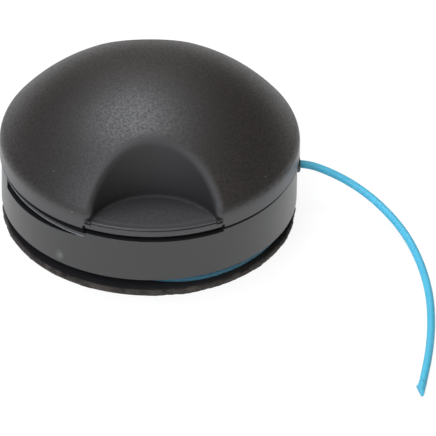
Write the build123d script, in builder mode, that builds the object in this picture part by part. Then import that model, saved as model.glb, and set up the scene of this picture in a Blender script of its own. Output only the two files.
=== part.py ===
from build123d import *
import os
from math import acos, atan2, cos, degrees, pi, radians, sin, sqrt, tan

# Tap-feed trimmer line spool, in millimetres.
# It stands on the spool's lower flange, with the domed cap up and the axis along Z.
# Angles are counted from +X, anticlockwise seen from above. The front is at -90 degrees.
FRONT = -90.0
os.makedirs("parts", exist_ok=True)

# Cutting line
line_diameter = 1.6
turns_per_layer = 5
winding_setback = 0.6
slack_shift = 10.1
slack_angle = 22.0
slack_end_angle = 70.0

# Drum: the smooth band that the line leaves through
drum_radius = 29.6
drum_wall = 1.4
drum_height = 10.1
window_angle = -53.0
window_half_angle = 22.0
window_depth = 3.0
window_rise = 1.05
latch_root = 1.64
latch_tip = 0.6
latch_gap = 0.8
notch_half_angle = 28.0
notch_depth = 0.8
edge_chamfer = 0.25

# Bridge across the drum, with the spring turret at its middle
bridge_width = 12.0
bridge_thickness = 1.3
bridge_drop = 0.2
turret_wall = 1.4

# Domed cap
cap_overhang = 0.4
cap_wall = 1.8
rim_height = 3.1
crown_radius = 37.0
crown_edge_radius = 3.3

# Finger recesses, one at the front and one at the back of the cap
recess_radius = 13.5
recess_distance = 32.0
recess_draft_angle = 2.6
recess_floor_drop = 0.9
recess_floor_thickness = 1.85
recess_round = 1.5
floor_round = 0.5
lip_setback = 0.35
lip_relief = 1.1
lip_end_angle = 0.8
lip_groove_width = 0.3
lip_groove_depth = 0.25

# Bayonet between the cap and the drum
spigot_wall = 1.0
spigot_length = 2.5
spigot_shelf = 1.0
bayonet_angle = 38.5
bayonet_half_angle = 4.5
bayonet_reach = 1.0
bayonet_height = 1.0
spigot_margin_angle = 1.0
curtain_length = 2.5

# Spool
flange_setback = 0.4
flange_thickness = 1.5
upper_flange_thickness = 1.0
upper_flange_gap = 0.4
hub_radius = 8.0
spigot_radius = 6.0
key_flat = 5.2
socket_radius = 4.0
socket_depth = 18.0
drive_slot_width = 3.0
drive_slot_depth = 2.5
drive_slot_reach = 6.8
pan_depth = 0.5
pan_inner_radius = 10.5
pan_border = 2.7
pan_ribs = 8
pan_rib_width = 1.2
anchor_radius = 0.95
anchor_distance = 11.5

# Feed ratchet: teeth on the upper flange, stops on the drum
ratchet_teeth = 6
tooth_angle = 14.0
tooth_height = 1.3
stop_angle = 7.0
stop_height = 1.5
ratchet_play_angle = 0.5
stop_place_angle = 60.0

# Spring, thrust washer and retaining ring
spring_wire = 1.0
spring_radius = 8.0
spring_length = 7.2
spring_turns = 4
steps_per_turn = 8
coil_bend = 0.97
washer_thickness = 0.8
washer_radius = 9.8
ring_thickness = 0.7
ring_radius = 7.6
ring_opening_angle = 70.0
groove_depth = 0.7
hub_end = 1.0

# Line eyelet
eyelet_angle = 6.0
eyelet_rise = 4.7
eyelet_body_radius = 1.45
eyelet_flange_radius = 1.9
eyelet_flange_thickness = 0.8
eyelet_round = 0.35

# Gate mark on the drum
gate_angle = -39.4
gate_rise = 2.0
gate_dish = 0.9
gate_depth = 0.3

# Travel, fits and clearances
tap_gap = 2.8
tap_stroke = 1.7
running_fit = 0.08
end_play = 0.1
moving_gap = 0.3
seat_gap = 0.05
seam_gap = 0.1
line_fit = 0.15

# Levels that follow from these sizes
flange_top = flange_thickness
drum_bottom = flange_top + tap_gap
drum_top = drum_bottom + drum_height
cap_base = drum_top + seam_gap
rim_top = cap_base + rim_height
recess_floor = rim_top - recess_floor_drop
lip_bottom = recess_floor - recess_floor_thickness
bridge_top = drum_top - bridge_drop
bridge_bottom = bridge_top - bridge_thickness
upper_flange_top = bridge_bottom - tap_stroke - moving_gap
upper_flange_bottom = upper_flange_top - upper_flange_thickness
washer_bottom = upper_flange_top + spring_length + 2 * seat_gap
washer_top = washer_bottom + washer_thickness
turret_ceiling = washer_top + end_play
turret_top = turret_ceiling + turret_wall
groove_bottom = turret_top + end_play
groove_top = groove_bottom + ring_thickness + end_play
spigot_top = groove_top + hub_end
eyelet_height = drum_bottom + eyelet_rise
stop_top = upper_flange_bottom + tap_stroke - moving_gap

# Radii that follow from these sizes
drum_inner = drum_radius - drum_wall
cap_radius = drum_radius + cap_overhang
flange_radius = drum_radius - flange_setback
bayonet_outer = drum_inner - moving_gap
spigot_outer = bayonet_outer - bayonet_reach
spigot_inner = spigot_outer - spigot_wall
lip_radius = cap_radius - lip_setback
lip_root = cap_radius - cap_wall
turret_inner = washer_radius + moving_gap
turret_outer = turret_inner + turret_wall
upper_flange_radius = spigot_inner - upper_flange_gap
pan_outer_radius = flange_radius - pan_border
winding_inner = hub_radius + seat_gap
winding_outer = upper_flange_radius - tooth_height - winding_setback
spigot_bottom = cap_base - spigot_length


def ring_sector(inner, outer, start, span):
    """Face between two radii over an angle, in the sketch that is open."""
    with BuildLine() as outline:
        far = CenterArc((0, 0), outer, start, span)
        near = CenterArc((0, 0), inner, start, span)
        Line(far @ 0, near @ 0)
        Line(far @ 1, near @ 1)
    make_face(outline.edges())


def dome_section(inset):
    """Half section of the cap's dome, drawn inset by a wall thickness."""
    reach = cap_radius - crown_edge_radius
    crown_drop = sqrt((crown_radius - crown_edge_radius) ** 2 - reach**2)
    lean = degrees(atan2(crown_drop, reach))
    side = cap_radius - inset
    with BuildLine() as outline:
        Line((side, cap_base), (side, rim_top))
        CenterArc((reach, rim_top), crown_edge_radius - inset, 0, lean)
        crown = CenterArc((0, rim_top - crown_drop), crown_radius - inset, lean, 90 - lean)
        Polyline(crown @ 1, (0, cap_base), (side, cap_base))
    make_face(outline.edges())


def facing(angle, distance=0.0):
    """Plane square to a radius, its x along the rim and its y up."""
    outward = Vector(cos(radians(angle)), sin(radians(angle)), 0)
    along = Vector(-sin(radians(angle)), cos(radians(angle)), 0)
    return Plane(origin=outward * distance, x_dir=along, z_dir=outward)


# Hollow of the cap: the dome inset by its wall, less the backs of the recesses
with BuildPart() as cap_hollow:
    with BuildSketch(Plane.XZ):
        dome_section(cap_wall)
    revolve(axis=Axis.Z)
    with BuildSketch(Plane.XY.offset(lip_bottom)):
        with PolarLocations(recess_distance, 2, start_angle=FRONT):
            Circle(recess_radius + cap_wall)
    extrude(amount=crown_radius, taper=-recess_draft_angle, mode=Mode.SUBTRACT)

# Domed cap: crown and rim, two finger recesses, and the spigot with its bayonet and curtains
with BuildPart() as domed_cap:
    with BuildSketch(Plane.XZ):
        dome_section(0)
    revolve(axis=Axis.Z)
    with BuildSketch(Plane.XY.offset(recess_floor)):
        with PolarLocations(recess_distance, 2, start_angle=FRONT):
            Circle(recess_radius)
    extrude(amount=crown_radius, taper=-recess_draft_angle, mode=Mode.SUBTRACT)
    brow = domed_cap.edges(Select.LAST).filter_by(lambda e: e.center().Z > recess_floor + seat_gap)
    fillet(brow, recess_round)
    floor_edge = domed_cap.edges().filter_by(GeomType.CIRCLE).filter_by(
        lambda e: abs(e.radius - recess_radius) < seat_gap and abs(e.center().Z - recess_floor) < seat_gap)
    fillet(floor_edge, floor_round)
    add(cap_hollow.part, mode=Mode.SUBTRACT)

    # The recess floor ends in a lip, set back from the rim, with a fine groove along it
    lip_half_angle = notch_half_angle - lip_end_angle
    with BuildSketch(Plane.XY.offset(cap_base)):
        with PolarLocations(recess_distance, 2, start_angle=FRONT):
            Circle(recess_radius)
    extrude(amount=recess_floor - cap_base, mode=Mode.SUBTRACT)
    with BuildSketch(Plane.XY.offset(lip_bottom)):
        with PolarLocations(recess_distance, 2, start_angle=FRONT):
            Circle(recess_radius + seat_gap)
        Circle(lip_radius, mode=Mode.INTERSECT)
    extrude(amount=recess_floor_thickness)
    for turn in (FRONT, FRONT + 180):
        with BuildSketch(Plane.XY.offset(cap_base)):
            ring_sector(lip_root, cap_radius + seat_gap, turn - notch_half_angle, 2 * notch_half_angle)
        extrude(amount=lip_relief, mode=Mode.SUBTRACT)
        with BuildSketch(Plane.XY.offset(lip_bottom)):
            ring_sector(lip_root - seat_gap, lip_radius, turn - lip_half_angle, 2 * lip_half_angle)
        extrude(amount=cap_base + lip_relief - lip_bottom)
        with BuildSketch(Plane.XY.offset(recess_floor - 2 * lip_groove_width)):
            ring_sector(lip_radius - lip_groove_depth, cap_radius, turn - lip_half_angle, 2 * lip_half_angle)
        extrude(amount=lip_groove_width, mode=Mode.SUBTRACT)

    # Spigot that enters the drum, with the shelves that carry it beside the recesses
    spigot_start = window_angle - window_half_angle - spigot_margin_angle
    spigot_end = bayonet_angle + bayonet_half_angle + spigot_margin_angle
    for turn in (FRONT, FRONT + 180):
        with BuildSketch(Plane.XY.offset(spigot_bottom)):
            ring_sector(spigot_inner, spigot_outer, turn + spigot_start, spigot_end - spigot_start)
        extrude(amount=lip_bottom + seat_gap - spigot_bottom)
        with BuildSketch(Plane.XY.offset(cap_base)):
            ring_sector(spigot_inner, cap_radius - cap_wall / 2, turn + spigot_start,
                        -notch_half_angle - spigot_start)
            ring_sector(spigot_inner, cap_radius - cap_wall / 2, turn + notch_half_angle,
                        spigot_end - notch_half_angle)
        extrude(amount=spigot_shelf)
        # Bayonet lug, and the curtain that closes the drum's window from inside
        with BuildSketch(Plane.XY.offset(spigot_bottom)):
            ring_sector(spigot_outer - seat_gap, bayonet_outer,
                        turn + bayonet_angle - bayonet_half_angle, 2 * bayonet_half_angle)
        extrude(amount=bayonet_height)
        with BuildSketch(Plane.XY.offset(spigot_bottom)):
            ring_sector(spigot_inner, spigot_outer, turn + spigot_start, 2 * window_half_angle + spigot_margin_angle)
        extrude(amount=-curtain_length)
    rim_edge = domed_cap.edges().filter_by(GeomType.CIRCLE).filter_by(
        lambda e: abs(e.radius - cap_radius) < 0.001 and abs(e.center().Z - cap_base) < 0.001)
    chamfer(rim_edge, edge_chamfer)

# Drum: band, bridge and turret in one moulding
with BuildPart() as line_drum:
    with BuildSketch(Plane.XY.offset(drum_bottom)):
        Circle(drum_radius)
        Circle(drum_inner, mode=Mode.SUBTRACT)
    extrude(amount=drum_height)
    chamfer(line_drum.edges().filter_by(GeomType.CIRCLE).group_by(Axis.Z)[-1].sort_by(SortBy.RADIUS)[-1],
            edge_chamfer)
    with BuildSketch(Plane.XY.offset(bridge_bottom)):
        Rectangle(2 * drum_radius, bridge_width)
        Circle((drum_inner + drum_radius) / 2, mode=Mode.INTERSECT)
    extrude(amount=bridge_thickness)
    with BuildSketch(Plane.XY.offset(bridge_bottom)):
        Circle(turret_outer)
    extrude(amount=turret_top - bridge_bottom)
    with BuildSketch(Plane.XY.offset(bridge_bottom)):
        Circle(turret_inner)
    extrude(amount=turret_ceiling - bridge_bottom, mode=Mode.SUBTRACT)
    with BuildSketch(Plane.XY.offset(turret_top)):
        Circle(spigot_radius + running_fit)
    extrude(amount=-2 * turret_wall, mode=Mode.SUBTRACT)
    fillet(line_drum.edges().filter_by(GeomType.CIRCLE).filter_by(
        lambda e: abs(e.radius - turret_outer) < 0.001 and abs(e.center().Z - turret_top) < 0.001),
        turret_wall / 2)

    for turn in (FRONT, FRONT + 180):
        # Window under the latch arm, its sill rising towards the arm's root
        half = drum_radius * sin(radians(window_half_angle))
        sill = drum_top - window_depth
        window_back = drum_inner * cos(radians(window_half_angle)) - moving_gap
        with BuildSketch(facing(turn + window_angle, window_back)):
            with BuildLine():
                ThreePointArc((-half, sill), (0, sill + window_rise / 5), (half, sill + window_rise))
                Polyline((half, sill + window_rise), (half, drum_top - latch_root),
                         (latch_gap - half, drum_top - latch_tip), (latch_gap - half, cap_base), (-half, cap_base),
                         (-half, sill))
            make_face()
        extrude(amount=cap_radius - window_back, mode=Mode.SUBTRACT)
        # Notch under the lip of the recess
        with BuildSketch(Plane.XY.offset(drum_top - notch_depth)):
            ring_sector(drum_inner - moving_gap, cap_radius, turn - notch_half_angle, 2 * notch_half_angle)
        extrude(amount=notch_depth + seam_gap, mode=Mode.SUBTRACT)
        # Hook over the bayonet lug
        with BuildSketch(Plane.XY.offset(spigot_bottom + bayonet_height + end_play)):
            ring_sector(spigot_outer + moving_gap, drum_inner + drum_wall / 2,
                        turn + bayonet_angle - bayonet_half_angle, 2 * bayonet_half_angle)
        extrude(amount=drum_top - spigot_bottom - bayonet_height - end_play - edge_chamfer)
        # Stop for the spool's ratchet teeth
        with BuildSketch(Plane.XY.offset(stop_top - stop_height)):
            ring_sector(upper_flange_radius - tooth_height + moving_gap, drum_inner + drum_wall / 2,
                        turn + stop_place_angle - stop_angle / 2, stop_angle)
        extrude(amount=stop_height)

    # Seat of the eyelet and the gate mark
    with BuildSketch(facing(eyelet_angle, drum_inner - moving_gap)):
        with Locations((0, eyelet_height)):
            Circle(eyelet_body_radius + running_fit)
    extrude(amount=drum_wall + 2 * moving_gap, mode=Mode.SUBTRACT)
    gate = facing(FRONT + gate_angle, drum_radius - gate_depth + gate_dish).origin
    with Locations((gate.X, gate.Y, drum_bottom + gate_rise)):
        Sphere(gate_dish, mode=Mode.SUBTRACT)

# Eyelet: a flanged bush in the drum's wall
with BuildPart() as line_eyelet:
    with BuildSketch(facing(eyelet_angle, drum_inner)):
        with Locations((0, eyelet_height)):
            Circle(eyelet_body_radius)
    extrude(amount=drum_wall)
    with BuildSketch(facing(eyelet_angle, drum_radius)):
        with Locations((0, eyelet_height)):
            Circle(eyelet_flange_radius)
    extrude(amount=eyelet_flange_thickness)
    fillet(line_eyelet.faces().filter_by(GeomType.PLANE).sort_by(Axis.X)[-1].edges(), eyelet_round)
    with BuildSketch(facing(eyelet_angle, drum_inner)):
        with Locations((0, eyelet_height)):
            Circle(line_diameter / 2 + line_fit)
    extrude(amount=drum_wall + eyelet_flange_thickness, mode=Mode.SUBTRACT)

# Spool: flanges, hub and keyed spigot in one moulding
with BuildPart() as spool:
    with BuildSketch(Plane.XZ):
        with BuildLine():
            Polyline((0, 0), (flange_radius, 0), (flange_radius, flange_top), (hub_radius, flange_top),
                     (hub_radius, upper_flange_bottom), (upper_flange_radius, upper_flange_bottom),
                     (upper_flange_radius, upper_flange_top), (spigot_radius, upper_flange_top),
                     (spigot_radius, spigot_top), (0, spigot_top), close=True)
        make_face()
    revolve(axis=Axis.Z)
    fillet(spool.edges().filter_by(GeomType.CIRCLE).filter_by(lambda e: e.radius > drum_inner),
           flange_thickness / 4)

    # Gaps between the ratchet teeth
    gap_angle = 360 / ratchet_teeth - tooth_angle
    with BuildSketch(Plane.XY.offset(upper_flange_bottom)):
        for tooth in range(ratchet_teeth):
            ring_sector(upper_flange_radius - tooth_height, drum_inner,
                        FRONT + stop_place_angle - stop_angle / 2 - ratchet_play_angle + tooth * 360 / ratchet_teeth,
                        gap_angle)
    extrude(amount=upper_flange_thickness, mode=Mode.SUBTRACT)
    with BuildSketch(Plane.XY.offset(upper_flange_bottom)):
        with PolarLocations(anchor_distance, 2):
            Circle(anchor_radius)
    extrude(amount=upper_flange_thickness, mode=Mode.SUBTRACT)

    # Keyed spigot, with the groove of the retaining ring
    with BuildSketch(Plane.XY.offset(upper_flange_top)):
        with Locations((0, key_flat + spigot_radius / 2), (0, -key_flat - spigot_radius / 2)):
            Rectangle(2 * spigot_radius, spigot_radius)
    extrude(amount=spigot_top - upper_flange_top, mode=Mode.SUBTRACT)
    with BuildSketch(Plane.XY.offset(groove_bottom)):
        Circle(spigot_radius + seat_gap)
        Circle(spigot_radius - groove_depth, mode=Mode.SUBTRACT)
    extrude(amount=groove_top - groove_bottom, mode=Mode.SUBTRACT)

    # Drive socket and slots, and the ribbed pan under the flange
    with BuildSketch():
        Circle(socket_radius)
    extrude(amount=socket_depth, mode=Mode.SUBTRACT)
    with BuildSketch():
        SlotOverall(2 * drive_slot_reach, drive_slot_width)
    extrude(amount=drive_slot_depth, mode=Mode.SUBTRACT)
    with BuildSketch():
        Circle(pan_outer_radius)
        Circle(pan_inner_radius, mode=Mode.SUBTRACT)
        with PolarLocations((pan_inner_radius + pan_outer_radius) / 2, pan_ribs):
            Rectangle(2 * (pan_outer_radius - pan_inner_radius), pan_rib_width, mode=Mode.SUBTRACT)
    extrude(amount=pan_depth, mode=Mode.SUBTRACT)

# Wound line: the ridged roll, with its last turn slack on the lower flange
with BuildPart() as wound_line:
    with BuildSketch(Plane.XZ):
        with BuildLine():
            low = flange_top + seat_gap
            high = upper_flange_bottom - seat_gap
            lay = (high - low) / turns_per_layer
            Polyline((winding_outer, high), (winding_inner, high), (winding_inner, low), (winding_outer, low))
            for wrap in range(turns_per_layer):
                ThreePointArc((winding_outer, low + wrap * lay),
                              (winding_outer + lay / 3, low + (wrap + 0.5) * lay),
                              (winding_outer, low + (wrap + 1) * lay))
        make_face()
    revolve(axis=Axis.Z)

    # Slack turn: two arcs that meet in front, the first of them leaving the roll
    slack_radius = drum_inner - moving_gap - line_diameter / 2
    slack_level = flange_top + seat_gap + line_diameter / 2
    slack_bend = slack_radius - slack_shift
    slack_inner = winding_outer - line_diameter / 2
    slack_turn = degrees(acos((slack_inner**2 - slack_shift**2 - slack_bend**2) / (2 * slack_shift * slack_bend)))
    slack_plane = Plane(origin=(0, 0, slack_level), z_dir=facing(FRONT + slack_angle).x_dir,
                        x_dir=facing(FRONT + slack_angle).z_dir)
    slack_axis = Axis(slack_plane.x_dir * slack_shift, (0, 0, 1))
    for pivot, swing in ((Axis.Z, slack_end_angle), (slack_axis, -slack_turn)):
        with BuildSketch(slack_plane):
            with Locations((slack_radius, 0)):
                Circle(line_diameter / 2)
        revolve(axis=pivot, revolution_arc=swing)

# Free line: straight runs joined by tangent arcs, from inside the drum to its bare end
exit_way = Vector(cos(radians(eyelet_angle)), sin(radians(eyelet_angle)), 0)
line_start = exit_way * (drum_inner - line_diameter / 2) + Vector(0, 0, eyelet_height)
line_clear = exit_way * (drum_radius + line_diameter) + Vector(0, 0, eyelet_height)
line_route = [line_start, line_clear] + [Vector(*point) for point in (
    (36.1, 1.8, 7.5), (42.2, -1.2, 5.0), (46.6, -5.7, 3.45), (50.35, -11.8, 2.0), (52.95, -19.8, 1.05),
    (54.3, -29.75, 0.8), (54.25, -40.9, 0.8), (52.85, -52.85, 0.8), (50.15, -65.3, 0.8))]
bend_radii = []
for before, corner, after in zip(line_route, line_route[1:], line_route[2:]):
    turn = radians((corner - before).get_angle(after - corner))
    shorter = min((corner - before).length, (after - corner).length)
    bend_radii.append(0.45 * shorter / tan(turn / 2))
with BuildPart() as line_end:
    with BuildLine() as line_path:
        FilletPolyline(*line_route, radius=bend_radii)
    with BuildSketch(Plane(origin=line_path.line @ 0, z_dir=line_path.line % 0)):
        Circle(line_diameter / 2)
    sweep(path=line_path.line)
line_length = sum(edge.length for edge in line_path.edges())
print("line radii", [round(bend, 1) for bend in bend_radii], "length", round(line_length, 2))
print("line volume over section times length",
      round(line_end.part.volume / (line_length * pi * line_diameter**2 / 4), 5))

# Feed spring, standing on the upper flange and reaching up to the washer
with BuildPart() as feed_spring:
    coil_steps = int(spring_turns * steps_per_turn)
    coil_step = 2 * pi / steps_per_turn
    coil_rise = (spring_length - spring_wire) / coil_steps
    coil_low = upper_flange_top + seat_gap + spring_wire / 2
    coil_reach = spring_radius / cos(coil_step / 2)
    coil_points = [(coil_reach * cos(step * coil_step), coil_reach * sin(step * coil_step), coil_low + step * coil_rise)
                   for step in range(coil_steps + 1)]
    with BuildLine() as coil:
        FilletPolyline(*coil_points, radius=coil_bend * spring_radius)
    with BuildSketch(Plane(origin=coil.line @ 0, z_dir=coil.line % 0)):
        Circle(spring_wire / 2)
    sweep(path=coil.line)

# Thrust washer, keyed to the spigot's flats
with BuildPart() as thrust_washer:
    with BuildSketch(Plane.XY.offset(washer_bottom)):
        Circle(washer_radius)
        with BuildSketch(mode=Mode.SUBTRACT):
            Circle(spigot_radius + running_fit)
            Rectangle(3 * spigot_radius, 2 * (key_flat + running_fit), mode=Mode.INTERSECT)
    extrude(amount=washer_thickness)

# Retaining ring, sprung into the spigot's groove
with BuildPart() as retaining_ring:
    with BuildSketch(Plane.XY.offset(groove_bottom + end_play / 2)):
        ring_sector(spigot_radius - groove_depth + seat_gap, ring_radius, ring_opening_angle / 2, 360 - ring_opening_angle)
    extrude(amount=ring_thickness)

# One file for each piece
domed_cap.part.label = "domed_cap"
export_step(domed_cap.part, "parts/domed_cap.step")
line_drum.part.label = "line_drum"
export_step(line_drum.part, "parts/line_drum.step")
line_eyelet.part.label = "line_eyelet"
export_step(line_eyelet.part, "parts/line_eyelet.step")
spool.part.label = "spool"
export_step(spool.part, "parts/spool.step")
wound_line.part.label = "wound_line"
export_step(wound_line.part, "parts/wound_line.step")
line_end.part.label = "line_end"
export_step(line_end.part, "parts/line_end.step")
feed_spring.part.label = "feed_spring"
export_step(feed_spring.part, "parts/feed_spring.step")
thrust_washer.part.label = "thrust_washer"
export_step(thrust_washer.part, "parts/thrust_washer.step")
retaining_ring.part.label = "retaining_ring"
export_step(retaining_ring.part, "parts/retaining_ring.step")
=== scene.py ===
import math

import bmesh
import bpy
from bpy.props import FloatProperty, FloatVectorProperty, IntProperty, PointerProperty
from mathutils import Matrix, Vector, noise


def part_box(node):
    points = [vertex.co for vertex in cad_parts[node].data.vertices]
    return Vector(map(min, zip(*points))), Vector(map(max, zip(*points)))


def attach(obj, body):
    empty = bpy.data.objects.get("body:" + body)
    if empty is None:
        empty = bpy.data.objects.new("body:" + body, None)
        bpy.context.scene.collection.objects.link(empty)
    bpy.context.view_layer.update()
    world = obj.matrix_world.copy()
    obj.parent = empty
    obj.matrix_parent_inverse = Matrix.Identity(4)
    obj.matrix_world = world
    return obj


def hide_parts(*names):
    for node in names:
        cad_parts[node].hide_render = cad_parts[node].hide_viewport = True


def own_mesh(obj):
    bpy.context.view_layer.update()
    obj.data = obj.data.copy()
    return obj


bl_info = {
    "name": "Trimmer line spool",
    "version": (1, 0, 0),
    "blender": (4, 5, 0),
    "location": "3D View > Sidebar > Spool",
    "description": "Dresses the packed trimmer line spool: mouldings, metal parts, wound line and free line",
    "category": "Object",
}

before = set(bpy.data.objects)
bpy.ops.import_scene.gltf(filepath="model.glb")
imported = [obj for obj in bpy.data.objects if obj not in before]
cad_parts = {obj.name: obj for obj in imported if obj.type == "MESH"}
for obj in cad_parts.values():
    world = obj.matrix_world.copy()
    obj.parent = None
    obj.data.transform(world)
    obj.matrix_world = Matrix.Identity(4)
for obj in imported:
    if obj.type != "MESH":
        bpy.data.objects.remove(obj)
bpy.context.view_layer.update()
MM = 0.001

# Free line: the route's control points in millimetres, from inside the drum to the bare end
LINE_ROUTE = (
    (27.2499, 2.8641, 9.0), (31.0291, 3.2613, 9.0), (36.35, 2.2, 7.5), (41.95, 0.35, 5.0), (46.8, -4.6, 3.45),
    (50.95, -11.5, 2.0), (53.52, -20.05, 1.05), (54.75, -30.05, 0.8), (54.53, -40.95, 0.8), (53.18, -52.2, 0.8),
    (51.46, -60.55, 0.8))

# Places on the mouldings that the materials and the small details follow
RIM_TOP = 17.6 * MM
RECESS_AXIS = 32 * MM
RECESS_DRAFT = 0.0454
RECESS_FLOOR = 16.7 * MM
RECESS_BROW = 14.2 * MM
LIP_ROOT = 28.2 * MM
LIP_CORNER = (12.9 * MM, 26.2 * MM, 16.6 * MM)
CAP_SEAM = 15.05 * MM
DRUM_SEAM = 13.95 * MM
SEAM_FADE = 0.25 * MM
DRUM_RADIUS = 29.6 * MM
ARM_END = 13.4 * MM
ARM_TIP = 15.2 * MM
ARM_ROOT = 28.2 * MM
ARM_GAP = 0.65 * MM
GATE_MARK = (-18.55 * MM, -23.05 * MM, 6.05 * MM)
FLANGE_TOP = 1.5 * MM

# Values that several materials share
MOULDED_IOR = 1.62
NYLON_IOR = 1.53
# Painted shade in the seams: its black, and the specular level outside it and in it
SEAM_SHADE_BLACK = "#070707"
OPEN_SHEEN = 0.5
SEAM_SHEEN = 0.2


def linear(colour):
    """Turn an sRGB hex colour into linear red, green and blue."""
    parts = [int(colour[place:place + 2], 16) / 255 for place in (1, 3, 5)]
    return tuple(part / 12.92 if part <= 0.04045 else ((part + 0.055) / 1.055) ** 2.4 for part in parts)


class SpoolColours(bpy.types.PropertyGroup):
    """Colours of the spool's materials"""

    crown: FloatVectorProperty(name="Crown", description="Warm black of the spark-eroded crown", subtype="COLOR",
                               default=linear("#272422"), min=0, max=1)
    smooth: FloatVectorProperty(name="Smooth", description="Black of the cap's smooth rim",
                                subtype="COLOR", default=linear("#2d2c2c"), min=0, max=1)
    recess: FloatVectorProperty(name="Recess", description="Black of the finger recesses", subtype="COLOR",
                                default=linear("#1f1e1f"), min=0, max=1)
    # Also painted light: the fronts of the recess floors and the rim below them take this grey
    rubbed: FloatVectorProperty(name="Rubbed", description="Grey of the recess floors where fingers press",
                                subtype="COLOR", default=linear("#343335"), min=0, max=1)
    drum: FloatVectorProperty(name="Drum", description="Black of the drum", subtype="COLOR",
                              default=linear("#272727"), min=0, max=1)
    spool: FloatVectorProperty(name="Spool", description="Brown black of the spool", subtype="COLOR",
                               default=linear("#16110c"), min=0, max=1)
    line: FloatVectorProperty(name="Line", description="Blue of the free line", subtype="COLOR",
                              default=linear("#54bcd9"), min=0, max=1)
    # Painted shade: the roll's blue is the line's blue darkened as if under the drum
    roll: FloatVectorProperty(name="Roll", description="Dulled blue of the wound line", subtype="COLOR",
                              default=linear("#447c92"), min=0, max=1)


class SpoolSizes(bpy.types.PropertyGroup):
    """Sizes of the spool's details"""

    line_diameter: FloatProperty(name="Line", description="Diameter of the cutting line", default=1.6 * MM,
                                 unit="LENGTH", subtype="DISTANCE", precision=5)
    grain: FloatProperty(name="Spark grain", description="Width of a grain of the dome's spark texture",
                         default=0.45 * MM, unit="LENGTH", subtype="DISTANCE", precision=5)
    turns: IntProperty(name="Turns", description="Turns of line in one layer of the winding", default=5, min=1)


def add_node(tree, kind, settings=None, values=None, links=None):
    """Add a node, set its properties and input values, and link its inputs."""
    made = tree.nodes.new(kind)
    for name, value in (settings or {}).items():
        setattr(made, name, value)
    for name, value in (values or {}).items():
        made.inputs[name].default_value = value
    for name, socket in (links or {}).items():
        tree.links.new(socket, made.inputs[name])
    return made


def new_material(name):
    """Start an empty node material with its output."""
    material = bpy.data.materials.new(name)
    material.use_nodes = True
    material.node_tree.nodes.clear()
    return material, material.node_tree, add_node(material.node_tree, "ShaderNodeOutputMaterial")


def dress(name, material):
    """Give a CAD node one material."""
    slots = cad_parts[name].data.materials
    slots.clear()
    slots.append(material)


def new_piece(name, shape, material, body, slot, *replaced):
    """Make a mesh piece from a bmesh, with its material and body; the slot argument is never read."""
    bmesh.ops.recalc_face_normals(shape, faces=shape.faces)
    mesh = bpy.data.meshes.new(name)
    shape.to_mesh(mesh)
    shape.free()
    mesh.shade_smooth()
    mesh.set_sharp_from_angle(angle=math.radians(50))
    mesh.materials.append(material)
    piece = bpy.data.objects.new(name, mesh)
    bpy.context.scene.collection.objects.link(piece)
    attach(piece, body)
    if replaced:
        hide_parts(*replaced)
    return piece


def round_section(shape, segments, radius, matrix, capped=False):
    """Start a round section in a bmesh, and return its vertices, edges and any cap in a settled order."""
    verts = bmesh.ops.create_circle(shape, cap_ends=capped, segments=segments, radius=radius, matrix=matrix)["verts"]
    edges = dict.fromkeys(edge for vert in verts for edge in vert.link_edges)
    faces = dict.fromkeys(face for vert in verts for face in vert.link_faces)
    return [*verts, *edges, *faces]


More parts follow.
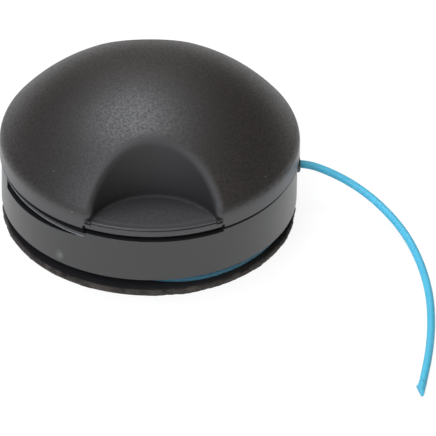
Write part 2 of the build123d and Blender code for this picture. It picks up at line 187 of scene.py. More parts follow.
def spark_nylon(colours, sizes):
    """Moulded black nylon, spark eroded on the crown and smooth on the rim and in the finger recesses."""
    # Matt crown with a sandy grain that sparkles in the highlight, and satin smooth walls below it.
    material, tree, output = new_material("spark_eroded_nylon")
    place = add_node(tree, "ShaderNodeTexCoord").outputs["Object"]
    x, y, z = add_node(tree, "ShaderNodeSeparateXYZ", links={0: place}).outputs

    # Crown: above the rim, and outside the two drafted finger recesses
    height = add_node(tree, "ShaderNodeMapRange", {"interpolation_type": "SMOOTHSTEP"},
                      {1: RIM_TOP + 0.1 * MM, 2: RIM_TOP + 1 * MM}, {0: z}).outputs[0]
    depth = add_node(tree, "ShaderNodeMath", {"operation": "ABSOLUTE"}, links={0: y}).outputs[0]
    away = add_node(tree, "ShaderNodeMath", {"operation": "SUBTRACT"}, {1: RECESS_AXIS}, {0: depth}).outputs[0]
    flat = add_node(tree, "ShaderNodeCombineXYZ", links={0: x, 1: away}).outputs[0]
    reach = add_node(tree, "ShaderNodeVectorMath", {"operation": "LENGTH"}, links={0: flat}).outputs["Value"]
    lean = add_node(tree, "ShaderNodeMath", {"operation": "MULTIPLY_ADD"},
                    {1: -RECESS_DRAFT, 2: RECESS_DRAFT * RECESS_FLOOR}, {0: z}).outputs[0]
    beyond = add_node(tree, "ShaderNodeMath", {"operation": "ADD"}, links={0: reach, 1: lean}).outputs[0]
    outside = add_node(tree, "ShaderNodeMapRange", {"interpolation_type": "SMOOTHSTEP"},
                       {1: RECESS_BROW - 0.3 * MM, 2: RECESS_BROW + 1 * MM}, {0: beyond}).outputs[0]
    crown = add_node(tree, "ShaderNodeMath", {"operation": "MULTIPLY"}, links={0: height, 1: outside}).outputs[0]

    # Spark grain: two sizes of noise, drawn a little coarser than the real texture so that it shows
    fine = add_node(tree, "ShaderNodeTexNoise", values={"Scale": 1 / sizes.grain, "Detail": 0.0},
                    links={"Vector": place}).outputs["Fac"]
    coarse = add_node(tree, "ShaderNodeTexNoise", values={"Scale": 0.4 / sizes.grain, "Detail": 0.0},
                      links={"Vector": place}).outputs["Fac"]
    grain = add_node(tree, "ShaderNodeMath", {"operation": "MULTIPLY_ADD"}, {1: 0.5},
                     {0: coarse, 2: fine}).outputs[0]
    sand = add_node(tree, "ShaderNodeMath", {"operation": "MULTIPLY"}, links={0: grain, 1: crown}).outputs[0]
    soft = add_node(tree, "ShaderNodeMapRange",
                    values={1: RIM_TOP - 0.4 * MM, 2: RIM_TOP + 0.6 * MM, 3: 0.2 * MM, 4: 1.2 * MM},
                    links={0: z}).outputs[0]
    edge = add_node(tree, "ShaderNodeBevel", {"samples": 8}, links={"Radius": soft}).outputs[0]
    bump = add_node(tree, "ShaderNodeBump", values={"Strength": 1.0, "Distance": 0.017 * MM},
                    links={"Height": sand, "Normal": edge}).outputs[0]

    # Gloss: each grain glints or stays dull on the crown, the smooth walls are cloudy, and the seam and the
    # corners at the ends of the lips, where shade is painted, are dull
    cloud = add_node(tree, "ShaderNodeTexNoise", values={"Scale": 1 / (9 * MM), "Detail": 3.0},
                     links={"Vector": place}).outputs["Fac"]
    satin = add_node(tree, "ShaderNodeMapRange", values={3: 0.33, 4: 0.42}, links={0: cloud}).outputs[0]
    glint = add_node(tree, "ShaderNodeMapRange", values={1: 0.3, 2: 0.7, 3: 0.55, 4: 0.44},
                     links={0: fine}).outputs[0]
    plan = add_node(tree, "ShaderNodeCombineXYZ", links={0: x, 1: y}).outputs[0]
    radius = add_node(tree, "ShaderNodeVectorMath", {"operation": "LENGTH"}, links={0: plan}).outputs["Value"]
    inward = add_node(tree, "ShaderNodeMapRange", values={1: LIP_ROOT + 0.4 * MM, 2: LIP_ROOT + 0.1 * MM},
                      links={0: radius}).outputs[0]
    hollow = add_node(tree, "ShaderNodeMapRange", values={1: RECESS_BROW + 0.8 * MM, 2: RECESS_BROW - 0.8 * MM},
                      links={0: beyond}).outputs[0]
    within = add_node(tree, "ShaderNodeMath", {"operation": "MULTIPLY"}, links={0: inward, 1: hollow}).outputs[0]
    dirt = add_node(tree, "ShaderNodeMapRange",
                    values={1: RECESS_FLOOR + 1.2 * MM, 2: RECESS_FLOOR + 0.2 * MM, 3: 0.5, 4: 0.8},
                    links={0: z}).outputs[0]
    walls = add_node(tree, "ShaderNodeMix", {"data_type": "FLOAT"},
                     links={0: within, 2: satin, 3: dirt}).outputs[0]
    gloss = add_node(tree, "ShaderNodeMix", {"data_type": "FLOAT"},
                     links={0: crown, 2: walls, 3: glint}).outputs[0]
    off = add_node(tree, "ShaderNodeMath", {"operation": "SUBTRACT"}, {1: RECESS_BROW}, {0: beyond}).outputs[0]
    near = add_node(tree, "ShaderNodeMath", {"operation": "ABSOLUTE"}, links={0: off}).outputs[0]
    ring = add_node(tree, "ShaderNodeMapRange", values={1: 1.4 * MM, 2: 0.4 * MM}, links={0: near}).outputs[0]
    brow = add_node(tree, "ShaderNodeMath", {"operation": "MULTIPLY"}, links={0: ring, 1: height}).outputs[0]
    dull = add_node(tree, "ShaderNodeMix", {"data_type": "FLOAT"}, {3: 0.64}, {0: brow, 2: gloss}).outputs[0]
    # Painted shade: a black, dull band at the cap's seam, and black spots in the corners at the ends of the lips
    seam = add_node(tree, "ShaderNodeMapRange", {"interpolation_type": "SMOOTHSTEP"},
                    {1: CAP_SEAM, 2: CAP_SEAM - SEAM_FADE}, {0: z}).outputs[0]
    across = add_node(tree, "ShaderNodeMath", {"operation": "ABSOLUTE"}, links={0: x}).outputs[0]
    quarter = add_node(tree, "ShaderNodeCombineXYZ", links={0: across, 1: depth, 2: z}).outputs[0]
    corner = add_node(tree, "ShaderNodeVectorMath", {"operation": "DISTANCE"}, {1: LIP_CORNER},
                      {0: quarter}).outputs["Value"]
    corner_shade = add_node(tree, "ShaderNodeMapRange", {"interpolation_type": "SMOOTHSTEP"},
                     {1: 1.2 * MM, 2: 0.5 * MM, 4: 0.9}, {0: corner}).outputs[0]
    painted_shade = add_node(tree, "ShaderNodeMath", {"operation": "MAXIMUM"}, links={0: seam, 1: corner_shade}).outputs[0]
    rough = add_node(tree, "ShaderNodeMix", {"data_type": "FLOAT"}, {3: 1.0}, {0: painted_shade, 2: dull}).outputs[0]

    # Colour: grained on the crown, plain below, and paler on the recess floors and on the rim below their height:
    # rubbed in streaks, and painted light towards the front of the floors
    shade = add_node(tree, "ShaderNodeMapRange", values={1: 0.25, 2: 0.75, 3: 0.5, 4: 1.5},
                     links={0: fine}).outputs[0]
    grained = add_node(tree, "ShaderNodeMix", {"data_type": "RGBA", "blend_type": "MULTIPLY"},
                       {0: 1.0, 6: (*colours.crown, 1)}, {7: shade}).outputs[2]
    plain = add_node(tree, "ShaderNodeMix", {"data_type": "RGBA"},
                     {6: (*colours.smooth, 1), 7: (*colours.recess, 1)}, {0: within}).outputs[2]
    black = add_node(tree, "ShaderNodeMix", {"data_type": "RGBA"},
                     links={0: crown, 6: plain, 7: grained}).outputs[2]
    low = add_node(tree, "ShaderNodeMapRange", values={1: RECESS_FLOOR + 0.4 * MM, 2: RECESS_FLOOR + 0.1 * MM},
                   links={0: z}).outputs[0]
    # Painted light: the floors turn paler towards their front, where light from the front falls
    fore = add_node(tree, "ShaderNodeMapRange", values={1: RECESS_AXIS - 13 * MM, 2: RECESS_AXIS - 4 * MM},
                    links={0: depth}).outputs[0]
    smear = add_node(tree, "ShaderNodeTexNoise", values={"Scale": 1 / (0.7 * MM), "Detail": 2.0, "Roughness": 0.6},
                     links={"Vector": place}).outputs["Fac"]
    rub = add_node(tree, "ShaderNodeMapRange", values={1: 0.35, 2: 0.65}, links={0: smear}).outputs[0]
    pressed = add_node(tree, "ShaderNodeMath", {"operation": "MULTIPLY"}, links={0: low, 1: fore}).outputs[0]
    worn = add_node(tree, "ShaderNodeMath", {"operation": "MULTIPLY"}, links={0: pressed, 1: rub}).outputs[0]
    inner = add_node(tree, "ShaderNodeMath", {"operation": "MULTIPLY"}, links={0: worn, 1: within}).outputs[0]
    # Painted light: the lip and the rim below the floors' height take the paler grey all over
    front = add_node(tree, "ShaderNodeMapRange", values={1: LIP_ROOT - 0.6 * MM, 2: LIP_ROOT},
                     links={0: radius}).outputs[0]
    lipped = add_node(tree, "ShaderNodeMath", {"operation": "MULTIPLY"}, links={0: front, 1: low}).outputs[0]
    rubbed_and_lit = add_node(tree, "ShaderNodeMath", {"operation": "MAXIMUM"}, links={0: lipped, 1: inner}).outputs[0]
    paler = add_node(tree, "ShaderNodeMix", {"data_type": "RGBA"}, {7: (*colours.rubbed, 1)},
                     {0: rubbed_and_lit, 6: black}).outputs[2]

    # Dust: a few pale specks. Painted shade: black and less specular in the seam and the corners
    dots = add_node(tree, "ShaderNodeTexVoronoi", values={"Scale": 1 / (3.2 * MM)}, links={"Vector": place})
    speck = add_node(tree, "ShaderNodeMapRange", values={1: 0.05, 2: 0.03},
                     links={0: dots.outputs["Distance"]}).outputs[0]
    chance = add_node(tree, "ShaderNodeSeparateXYZ", links={0: dots.outputs["Color"]}).outputs[0]
    rare = add_node(tree, "ShaderNodeMath", {"operation": "GREATER_THAN"}, {1: 0.86}, {0: chance}).outputs[0]
    dust = add_node(tree, "ShaderNodeMath", {"operation": "MULTIPLY"}, links={0: speck, 1: rare}).outputs[0]
    dusty = add_node(tree, "ShaderNodeMix", {"data_type": "RGBA"}, {7: (*linear("#8d8b88"), 1)},
                     {0: dust, 6: paler}).outputs[2]
    tone = add_node(tree, "ShaderNodeMix", {"data_type": "RGBA"}, {7: (*linear(SEAM_SHADE_BLACK), 1)},
                    {0: painted_shade, 6: dusty}).outputs[2]
    sheen = add_node(tree, "ShaderNodeMapRange", values={3: OPEN_SHEEN, 4: SEAM_SHEEN}, links={0: painted_shade}).outputs[0]
    shader = add_node(tree, "ShaderNodeBsdfPrincipled", values={"IOR": MOULDED_IOR},
                      links={"Base Color": tone, "Roughness": rough, "Specular IOR Level": sheen, "Normal": bump})
    tree.links.new(shader.outputs[0], output.inputs[0])
    return material


def satin_nylon(colours):
    """Smooth moulded nylon, as it leaves a stoned mould."""
    # Even satin black with a slightly wavy gloss, with painted shade in the seam and a painted highlight round the
    # gate mark.
    material, tree, output = new_material("satin_nylon")
    place = add_node(tree, "ShaderNodeTexCoord").outputs["Object"]
    x, y, z = add_node(tree, "ShaderNodeSeparateXYZ", links={0: place}).outputs
    cloud = add_node(tree, "ShaderNodeTexNoise", values={"Scale": 1 / (6 * MM), "Detail": 4.0},
                     links={"Vector": place}).outputs["Fac"]
    gloss = add_node(tree, "ShaderNodeMapRange", values={3: 0.31, 4: 0.42}, links={0: cloud}).outputs[0]

    # Painted shade in the seam under the cap: black, fully rough and less specular, widening over the two latch arms
    # towards their tips
    along = add_node(tree, "ShaderNodeMath", {"operation": "ABSOLUTE"}, links={0: x}).outputs[0]
    twin = add_node(tree, "ShaderNodeMath", {"operation": "MULTIPLY"}, links={0: x, 1: y}).outputs[0]
    armed = add_node(tree, "ShaderNodeMath", {"operation": "GREATER_THAN"}, {1: 0.0}, {0: twin}).outputs[0]
    wide = add_node(tree, "ShaderNodeMapRange", values={1: ARM_TIP, 2: ARM_ROOT, 3: ARM_GAP, 4: 0.0},
                    links={0: along}).outputs[0]
    past = add_node(tree, "ShaderNodeMath", {"operation": "GREATER_THAN"}, {1: ARM_END}, {0: along}).outputs[0]
    arm = add_node(tree, "ShaderNodeMath", {"operation": "MULTIPLY"}, links={0: armed, 1: past}).outputs[0]
    rise = add_node(tree, "ShaderNodeMath", {"operation": "MULTIPLY_ADD"},
                    links={0: arm, 1: wide, 2: z}).outputs[0]
    seam = add_node(tree, "ShaderNodeMapRange", {"interpolation_type": "SMOOTHSTEP"},
                    {1: DRUM_SEAM, 2: DRUM_SEAM + SEAM_FADE}, {0: rise}).outputs[0]
    rough = add_node(tree, "ShaderNodeMix", {"data_type": "FLOAT"}, {3: 1.0}, {0: seam, 2: gloss}).outputs[0]

    # Gate mark: a faint halo round a paler spot, a painted highlight for light caught in its dimple
    gate = add_node(tree, "ShaderNodeVectorMath", {"operation": "DISTANCE"}, {1: GATE_MARK},
                    {0: place}).outputs["Value"]
    halo = add_node(tree, "ShaderNodeMapRange", {"interpolation_type": "SMOOTHSTEP"},
                    {1: 1.3 * MM, 2: 0.8 * MM, 4: 0.14}, {0: gate}).outputs[0]
    spot = add_node(tree, "ShaderNodeMapRange", {"interpolation_type": "SMOOTHSTEP"},
                    {1: 0.65 * MM, 2: 0.2 * MM, 4: 0.34}, {0: gate}).outputs[0]
    gate_highlight = add_node(tree, "ShaderNodeMath", {"operation": "ADD"}, links={0: halo, 1: spot}).outputs[0]
    shade = add_node(tree, "ShaderNodeMapRange", values={3: 0.90, 4: 1.10}, links={0: cloud}).outputs[0]
    black = add_node(tree, "ShaderNodeMix", {"data_type": "RGBA", "blend_type": "MULTIPLY"},
                     {0: 1.0, 6: (*colours.drum, 1)}, {7: shade}).outputs[2]
    gate_lit = add_node(tree, "ShaderNodeMix", {"data_type": "RGBA"}, {7: (*linear("#9a9b95"), 1)},
                       {0: gate_highlight, 6: black}).outputs[2]
    tone = add_node(tree, "ShaderNodeMix", {"data_type": "RGBA"}, {7: (*linear(SEAM_SHADE_BLACK), 1)},
                    {0: seam, 6: gate_lit}).outputs[2]
    ripple = add_node(tree, "ShaderNodeTexNoise", values={"Scale": 1 / (2.5 * MM), "Detail": 2.0},
                      links={"Vector": place}).outputs["Fac"]
    edge = add_node(tree, "ShaderNodeBevel", {"samples": 6}, {"Radius": 0.2 * MM}).outputs[0]
    bump = add_node(tree, "ShaderNodeBump", values={"Strength": 0.15, "Distance": 0.02 * MM},
                    links={"Height": ripple, "Normal": edge}).outputs[0]
    sheen = add_node(tree, "ShaderNodeMapRange", values={3: OPEN_SHEEN, 4: SEAM_SHEEN}, links={0: seam}).outputs[0]
    shader = add_node(tree, "ShaderNodeBsdfPrincipled", values={"IOR": MOULDED_IOR},
                      links={"Base Color": tone, "Roughness": rough, "Specular IOR Level": sheen, "Normal": bump})
    tree.links.new(shader.outputs[0], output.inputs[0])
    return material


def pale_highlight_nylon():
    """Moulded nylon in a pale grey that is a painted highlight."""
    # A paler, glossier grey that draws a bright line along an edge: a painted highlight.
    material, tree, output = new_material("pale_highlight_nylon")
    place = add_node(tree, "ShaderNodeTexCoord").outputs["Object"]
    mottle = add_node(tree, "ShaderNodeTexNoise", values={"Scale": 1 / (1.5 * MM), "Detail": 3.0},
                     links={"Vector": place}).outputs["Fac"]
    tone = add_node(tree, "ShaderNodeMix", {"data_type": "RGBA"},
                    {6: (*linear("#4c4c4d"), 1), 7: (*linear("#868688"), 1)}, {0: mottle}).outputs[2]
    gloss = add_node(tree, "ShaderNodeMapRange", values={3: 0.42, 4: 0.28}, links={0: mottle}).outputs[0]
    shader = add_node(tree, "ShaderNodeBsdfPrincipled", values={"IOR": MOULDED_IOR},
                      links={"Base Color": tone, "Roughness": gloss})
    tree.links.new(shader.outputs[0], output.inputs[0])
    return material


def worn_nylon(colours):
    """Moulded nylon that has run over the ground."""
    # Dull brown black, pitted, rubbed paler in patches along the flange's edge, and paler on its upper face: dust, and
    # painted light lifting the drum's shade there.
    material, tree, output = new_material("worn_nylon")
    place = add_node(tree, "ShaderNodeTexCoord").outputs["Object"]
    patch = add_node(tree, "ShaderNodeTexNoise", values={"Scale": 1 / (2.2 * MM), "Detail": 5.0, "Roughness": 0.6},
                     links={"Vector": place}).outputs["Fac"]
    rubbed = add_node(tree, "ShaderNodeMapRange", values={1: 0.36, 2: 0.66, 4: 0.9}, links={0: patch}).outputs[0]
    worn = add_node(tree, "ShaderNodeMix", {"data_type": "RGBA"},
                    {6: (*colours.spool, 1), 7: (*linear("#504b46"), 1)}, {0: rubbed}).outputs[2]
    # Painted light and dust: the upper face, in the drum's shade, is paler
    height = add_node(tree, "ShaderNodeSeparateXYZ", links={0: place}).outputs[2]
    top = add_node(tree, "ShaderNodeMapRange", values={1: FLANGE_TOP - 0.1 * MM, 2: FLANGE_TOP},
                   links={0: height}).outputs[0]
    tone = add_node(tree, "ShaderNodeMix", {"data_type": "RGBA"}, {7: (*linear("#2a2829"), 1)},
                    {0: top, 6: worn}).outputs[2]
    gloss = add_node(tree, "ShaderNodeMapRange", values={3: 0.5, 4: 0.8}, links={0: patch}).outputs[0]
    pits = add_node(tree, "ShaderNodeTexNoise", values={"Scale": 1 / (0.7 * MM), "Detail": 3.0},
                    links={"Vector": place}).outputs["Fac"]
    bump = add_node(tree, "ShaderNodeBump", values={"Strength": 0.7, "Distance": 0.1 * MM},
                    links={"Height": pits}).outputs[0]
    shader = add_node(tree, "ShaderNodeBsdfPrincipled", values={"IOR": NYLON_IOR, "Specular IOR Level": 0.3},
                      links={"Base Color": tone, "Roughness": gloss, "Normal": bump})
    tree.links.new(shader.outputs[0], output.inputs[0])
    return material


def blue_monofilament(name, colour):
    """Extruded nylon monofilament, dyed through."""
    # Bright milky blue, even from edge to edge, with a dull extruded skin.
    material, tree, output = new_material(name)
    place = add_node(tree, "ShaderNodeTexCoord").outputs["Object"]
    streak = add_node(tree, "ShaderNodeTexNoise", values={"Scale": 1 / (1.4 * MM), "Detail": 3.0},
                      links={"Vector": place}).outputs["Fac"]
    shade = add_node(tree, "ShaderNodeMapRange", values={3: 0.90, 4: 1.08}, links={0: streak}).outputs[0]
    blue = add_node(tree, "ShaderNodeMix", {"data_type": "RGBA", "blend_type": "MULTIPLY"},
                    {0: 1.0, 6: (*colour, 1)}, {7: shade}).outputs[2]
    gloss = add_node(tree, "ShaderNodeMapRange", values={3: 0.50, 4: 0.65}, links={0: streak}).outputs[0]
    shader = add_node(tree, "ShaderNodeBsdfPrincipled",
                      values={"IOR": NYLON_IOR, "Subsurface Weight": 0.8, "Subsurface Radius": (0.6, 0.9, 1.0),
                              "Subsurface Scale": 1 * MM},
                      links={"Base Color": blue, "Roughness": gloss})
    tree.links.new(shader.outputs[0], output.inputs[0])
    return material


def steel(name, colour, rough):
    """Drawn or pressed steel with a thin oxide or zinc skin."""
    # Dull metal whose reflections are broken by fine drawing marks.
    material, tree, output = new_material(name)
    place = add_node(tree, "ShaderNodeTexCoord").outputs["Object"]
    marks = add_node(tree, "ShaderNodeTexNoise", values={"Scale": 1 / (0.5 * MM), "Detail": 3.0},
                     links={"Vector": place}).outputs["Fac"]
    gloss = add_node(tree, "ShaderNodeMapRange", values={3: rough - 0.06, 4: rough + 0.1},
                     links={0: marks}).outputs[0]
    shade = add_node(tree, "ShaderNodeMapRange", values={3: 0.75, 4: 1.15}, links={0: marks}).outputs[0]
    tone = add_node(tree, "ShaderNodeMix", {"data_type": "RGBA", "blend_type": "MULTIPLY"},
                    {0: 1.0, 6: (*linear(colour), 1)}, {7: shade}).outputs[2]
    shader = add_node(tree, "ShaderNodeBsdfPrincipled", values={"Metallic": 1.0},
                      links={"Base Color": tone, "Roughness": gloss})
    tree.links.new(shader.outputs[0], output.inputs[0])
    return material


class SPOOL_OT_stage(bpy.types.Operator):
    """Set up the camera, the pale floor and the soft studio light"""

    bl_idname = "spool.stage"
    bl_label = "Stage and camera"

    def execute(self, context):
        scene = context.scene
        scene.view_settings.view_transform = "Standard"
        # Camera at the photograph's angle, 36 degrees up, a little to the left of the front and rolled a little
        turn, rise, roll = math.radians(-2.7), math.radians(36), math.radians(1.06)
        middle, distance, aside, below = Vector((0, 0, 17.6 * MM)), 1600 * MM, 13.6 * MM, 15.86 * MM
        right = Vector((math.cos(turn), math.sin(turn), 0))
        back = Vector((math.sin(turn) * math.cos(rise), -math.cos(turn) * math.cos(rise), math.sin(rise)))
        up = back.cross(right)
        right, up = right * math.cos(roll) + up * math.sin(roll), up * math.cos(roll) - right * math.sin(roll)
        lens = bpy.data.cameras.new("camera")
        lens.sensor_width = 36
        lens.lens = 661.6
        lens.clip_start = 0.1
        lens.clip_end = 50
        camera = bpy.data.objects.new("camera", lens)
        spot = middle + right * aside - up * below + back * distance
        camera.matrix_world = Matrix.Translation(spot) @ Matrix((right, up, back)).transposed().to_4x4()
        scene.collection.objects.link(camera)
        scene.camera = camera

        # Floor: white board, white again in mirrors, that keeps the object's shadow
        shape = bmesh.new()
        bmesh.ops.create_grid(shape, x_segments=1, y_segments=1, size=3)
        mesh = bpy.data.meshes.new("floor")
        shape.to_mesh(mesh)
        shape.free()
        floor = bpy.data.objects.new("floor", mesh)
        scene.collection.objects.link(floor)
        material, tree, output = new_material("white_board")
        bounce, shadow, bright, mirrored = (0.82, 0.82, 0.82, 1), (0.16, 0.16, 0.16, 1), 0.88, 1.0
        board = add_node(tree, "ShaderNodeBsdfDiffuse", values={"Color": bounce})
        pale = add_node(tree, "ShaderNodeBsdfDiffuse", values={"Color": shadow})
        path = add_node(tree, "ShaderNodeLightPath")
        white = add_node(tree, "ShaderNodeMapRange", values={3: bright, 4: mirrored},
                         links={0: path.outputs["Is Glossy Ray"]})
        glow = add_node(tree, "ShaderNodeEmission", links={"Strength": white.outputs[0]})
        seen = add_node(tree, "ShaderNodeMath", {"operation": "MAXIMUM"},
                        links={0: path.outputs["Is Camera Ray"], 1: path.outputs["Is Glossy Ray"]})
        lit = add_node(tree, "ShaderNodeAddShader", links={0: pale.outputs[0], 1: glow.outputs[0]})
        mixed = add_node(tree, "ShaderNodeMixShader", links={0: seen.outputs[0], 1: board.outputs[0],
                                                            2: lit.outputs[0]})
        tree.links.new(mixed.outputs[0], output.inputs[0])
        mesh.materials.append(material)

        # World: a dim warm room around the soft boxes
        world = bpy.data.worlds.new("room")
        scene.world = world
        world.use_nodes = True
        room = world.node_tree
        room.nodes.clear()
        sky = add_node(room, "ShaderNodeBackground", values={"Color": (*linear("#ffdcb0"), 1), "Strength": 0.05})
        room_output = add_node(room, "ShaderNodeOutputWorld")
        room.links.new(sky.outputs[0], room_output.inputs[0])

        # Soft boxes: a cool one overhead, a wide cool one at the front left, weak warm ones in front and behind
        for name, watts, size, tint, place in (
                ("overhead", 12.8, 0.8, "#f3f7ff", (-0.2, 0.3, 1.3)),
                ("front_left", 21.0, 1.3, "#e8f0ff", (-0.62, -1.15, 1.0)),
                ("front", 5.0, 1.2, "#fff0d2", (0.2, -1.0, 1.3)),
                ("back", 1.5, 1.0, "#fff8f0", (0.0, 1.3, 0.8))):
            lamp = bpy.data.lights.new(name, "AREA")
            lamp.color = linear(tint)
            lamp.energy = watts
            lamp.size = size
            box = bpy.data.objects.new(name, lamp)
            aim = Vector(place).to_track_quat("Z", "Y").to_matrix().to_4x4()
            box.matrix_world = Matrix.Translation(place) @ aim
            scene.collection.objects.link(box)
        return {"FINISHED"}


class SPOOL_OT_free_line(bpy.types.Operator):
    """Lay the free end of the cutting line, with its cut end"""

    bl_idname = "spool.free_line"
    bl_label = "Free line"

    def execute(self, context):
        sizes, colours = context.scene.spool_sizes, context.scene.spool_colours
        material = blue_monofilament("blue_nylon_monofilament", colours.line)
        curve = bpy.data.curves.new("free_line", "CURVE")
        curve.dimensions = "3D"
        curve.bevel_depth = sizes.line_diameter / 2
        curve.bevel_resolution = 6
        curve.use_fill_caps = True
        spline = curve.splines.new("NURBS")
        spline.points.add(len(LINE_ROUTE) - 1)
        for point, place in zip(spline.points, LINE_ROUTE):
            point.co = (*(Vector(place) * MM), 1)
        spline.order_u = 3
        spline.use_endpoint_u = True
        spline.resolution_u = 16
        curve.materials.append(material)
        line = bpy.data.objects.new("free_line", curve)
        context.scene.collection.objects.link(line)
        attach(line, "drum")
        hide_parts("line_end")

        # Cut end: a sleeve just clear of the line, snipped aslant, with a burr drawn out where the cutter left it
        radius, clear = sizes.line_diameter / 2, 0.012
        overlap, step, slant_near, slant_far, blunt, burr = 0.9 * MM, 0.5 * MM, 0.4 * MM, 3.2 * MM, 2.35 * MM, 0.7 * MM
        end = Vector(LINE_ROUTE[-1]) * MM + Vector((0, 0, radius * clear))
        way = (Vector(LINE_ROUTE[-1]) - Vector(LINE_ROUTE[-2])).normalized()
        side = Vector((0, 0, 1)).cross(way)
        drawn = (side * -0.32 - way * 0.22) * MM
        shape = bmesh.new()
        start = Matrix.Translation(end - way * overlap) @ way.to_track_quat("Z", "Y").to_matrix().to_4x4()
        grown = round_section(shape, 32, radius * (1 + clear), start)
        for _ in range(9):
            edges = [part for part in grown if isinstance(part, bmesh.types.BMEdge)]
            grown = bmesh.ops.extrude_edge_only(shape, edges=edges)["geom"]
            bmesh.ops.translate(shape, verts=[part for part in grown if isinstance(part, bmesh.types.BMVert)],
                                vec=way * step)
        near, far = end - side * radius + way * slant_near, end + side * radius + way * slant_far
        for cut, across in ((near, (far - near).cross(Vector((0, 0, 1)))), (end + way * blunt, way)):
            bmesh.ops.bisect_plane(shape, geom=shape.verts[:] + shape.edges[:] + shape.faces[:], plane_co=cut,
                                   plane_no=across, clear_outer=True)
            bmesh.ops.holes_fill(shape, edges=shape.edges)
        for vert in shape.verts:
            pull = max(0.0, 1 - (vert.co - near).length / burr)
            vert.co += drawn * pull
        snip = new_piece("cut_end", shape, material, "drum", "line_nylon")
        return {"FINISHED"}


class SPOOL_OT_winding(bpy.types.Operator):
    """Wind the line on the hub, with its slack last turn"""

    bl_idname = "spool.winding"
    bl_label = "Wound line"

    def execute(self, context):
        sizes = context.scene.spool_sizes
        # The roll's darker, duller blue is painted shade: the same line as the free end, in the drum's shade
        material = blue_monofilament("shaded_nylon_monofilament", context.scene.spool_colours.roll)
        low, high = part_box("wound_line")
        radius = sizes.line_diameter / 2
        lay = (high.z - low.z) / sizes.turns
        steps = 96
        shape = bmesh.new()
        # Two layers: each one's radius, and how many lays it stays clear of both flanges
        for reach, lift in ((23.33 * MM, 0.5), (21.95 * MM, 1.0)):
            turns = sizes.turns - 2 * lift
            start = Matrix.Translation((reach, 0, low.z + lift * lay)) @ Matrix.Rotation(math.pi / 2, 4, "X")
            bmesh.ops.spin(shape, geom=round_section(shape, 12, radius, start), axis=(0, 0, 1), cent=(0, 0, 0),
                           angle=math.tau * turns, steps=int(steps * turns), dvec=(0, 0, lay / steps))

        # Slack turn on the lower flange: round the axis, and then in towards the roll
        slack_radius, bend_centre = 27.4 * MM, 10.1 * MM
        turned = Matrix.Rotation(math.radians(27), 4, "Z")
        start = (turned @ Matrix.Translation((0, -slack_radius, low.z + radius))
                 @ Matrix.Rotation(math.pi / 2, 4, "Y"))
        for centre, sweep in (((0, 0, 0), 65.0), (turned @ Vector((0, -bend_centre, 0)), -67.97)):
            bmesh.ops.spin(shape, geom=round_section(shape, 16, radius, start), axis=(0, 0, 1), cent=centre,
                           angle=math.radians(sweep), steps=48)
        bmesh.ops.remove_doubles(shape, verts=shape.verts, dist=0.001 * MM)
        bmesh.ops.holes_fill(shape, edges=shape.edges)
        new_piece("winding", shape, material, "spool", "line_nylon", "wound_line")
        return {"FINISHED"}


class SPOOL_OT_mouldings(bpy.types.Operator):
    """Finish the cap, the drum and the spool"""

    bl_idname = "spool.mouldings"
    bl_label = "Mouldings"

    def execute(self, context):
        colours, sizes = context.scene.spool_colours, context.scene.spool_sizes
        dress("domed_cap", spark_nylon(colours, sizes))
        dress("line_drum", satin_nylon(colours))
        dress("spool", worn_nylon(colours))
        return {"FINISHED"}


class SPOOL_OT_latch_beads(bpy.types.Operator):
    """Lay a fine bead along the lower edge of each latch arm"""

    bl_idname = "spool.latch_beads"
    bl_label = "Latch beads"

    def execute(self, context):
        radius, low, rise, sweep, steps = 0.17 * MM, 12.755 * MM, 1.125 * MM, math.radians(-45.8), 44
        shape = bmesh.new()
        for turn in (-117.5, 62.5):
            start = (Matrix.Rotation(math.radians(turn), 4, "Z") @ Matrix.Translation((DRUM_RADIUS, 0, low))
                     @ Matrix.Rotation(math.pi / 2, 4, "X"))
            bmesh.ops.spin(shape, geom=round_section(shape, 10, radius, start, capped=True), axis=(0, 0, 1),
                           cent=(0, 0, 0), angle=sweep, steps=steps, dvec=(0, 0, rise / steps))
        # The beads' pale grey is a painted highlight along the arms' lower edges
        new_piece("latch_beads", shape, pale_highlight_nylon(), "drum", "drum_plastic")
        return {"FINISHED"}


class SPOOL_OT_worn_edge(bpy.types.Operator):
    """Wear the edge of the lower flange ragged"""

    bl_idname = "spool.worn_edge"
    bl_label = "Worn flange edge"

    def execute(self, context):
        reach, half_depth, half_height, steps = 28.95 * MM, 0.38 * MM, 0.7 * MM, 480
        shape = bmesh.new()
        start = (Matrix.Translation((reach, 0, FLANGE_TOP / 2)) @ Matrix.Diagonal((half_depth, 1, half_height, 1))
                 @ Matrix.Rotation(math.pi / 2, 4, "X"))
        bmesh.ops.spin(shape, geom=round_section(shape, 12, 1, start), axis=(0, 0, 1), cent=(0, 0, 0),
                       angle=math.tau, steps=steps, use_merge=True)
        # Long waves and short nicks, in and out from the axis
        for vert in shape.verts:
            out = Vector((vert.co.x, vert.co.y, 0)).normalized()
            ragged = 0.2 * noise.noise(vert.co / (3 * MM)) + 0.13 * noise.noise(vert.co / (0.8 * MM))
            vert.co += out * ragged * MM
        new_piece("worn_edge", shape, bpy.data.materials["worn_nylon"], "spool", "spool_plastic")
        return {"FINISHED"}


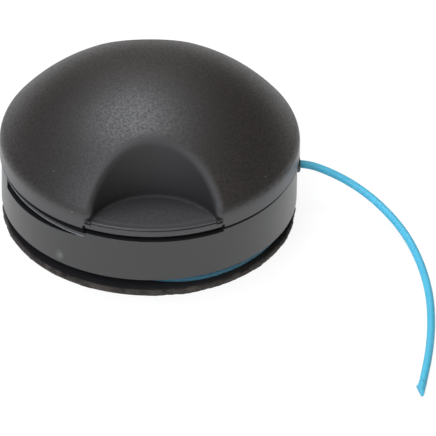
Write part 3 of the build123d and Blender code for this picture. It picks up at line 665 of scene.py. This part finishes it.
class SPOOL_OT_spring(bpy.types.Operator):
    """Coil the feed spring, which shortens as the drum is pressed"""

    bl_idname = "spool.spring"
    bl_label = "Feed spring"

    def execute(self, context):
        low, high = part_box("feed_spring")
        radius, turns, steps = 0.5 * MM, 4, 40
        shape = bmesh.new()
        start = (Matrix.Translation(((high.x - low.x) / 2 - radius, 0, low.z + radius))
                 @ Matrix.Rotation(math.pi / 2, 4, "X"))
        bmesh.ops.spin(shape, geom=round_section(shape, 10, radius, start), axis=(0, 0, 1), cent=(0, 0, 0),
                       angle=math.tau * turns, steps=steps * turns,
                       dvec=(0, 0, (high.z - low.z - 2 * radius) / (steps * turns)))
        bmesh.ops.holes_fill(shape, edges=shape.edges)
        coil = new_piece("coil_spring", shape, steel("drawn_spring_steel", "#9a9ca0", 0.3), "spool",
                         "spring_steel", "feed_spring")
        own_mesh(coil)
        return {"FINISHED"}


class SPOOL_OT_metal(bpy.types.Operator):
    """Finish the eyelet, the washer and the ring"""

    bl_idname = "spool.metal"
    bl_label = "Metal parts"

    def execute(self, context):
        dress("line_eyelet", steel("burnished_steel", "#4b4e52", 0.38))
        for name in ("thrust_washer", "retaining_ring"):
            dress(name, bpy.data.materials["drawn_spring_steel"])
        return {"FINISHED"}


class SPOOL_PT_panel(bpy.types.Panel):
    """Sizes, colours and steps of the spool"""

    bl_label = "Trimmer line spool"
    bl_space_type = "VIEW_3D"
    bl_region_type = "UI"
    bl_category = "Spool"

    def draw(self, context):
        for group in (context.scene.spool_sizes, context.scene.spool_colours):
            for name in group.__annotations__:
                self.layout.prop(group, name)
        for step in STEPS:
            self.layout.operator(step.bl_idname)


STEPS = (SPOOL_OT_stage, SPOOL_OT_free_line, SPOOL_OT_winding, SPOOL_OT_mouldings, SPOOL_OT_latch_beads,
         SPOOL_OT_worn_edge, SPOOL_OT_spring, SPOOL_OT_metal)
CLASSES = (SpoolColours, SpoolSizes, *STEPS, SPOOL_PT_panel)


def register():
    """Register the classes and the scene's sizes and colours."""
    for each in CLASSES:
        bpy.utils.register_class(each)
    bpy.types.Scene.spool_colours = PointerProperty(type=SpoolColours)
    bpy.types.Scene.spool_sizes = PointerProperty(type=SpoolSizes)


def unregister():
    """Take the classes and the scene's sizes and colours away again."""
    del bpy.types.Scene.spool_sizes
    del bpy.types.Scene.spool_colours
    for each in reversed(CLASSES):
        bpy.utils.unregister_class(each)


def main():
    """Dress the part step by step."""
    register()
    bpy.ops.spool.stage()
    bpy.ops.spool.free_line()
    bpy.ops.spool.winding()
    bpy.ops.spool.mouldings()
    bpy.ops.spool.latch_beads()
    bpy.ops.spool.worn_edge()
    bpy.ops.spool.spring()
    bpy.ops.spool.metal()


if __name__ == "__main__":
    main()
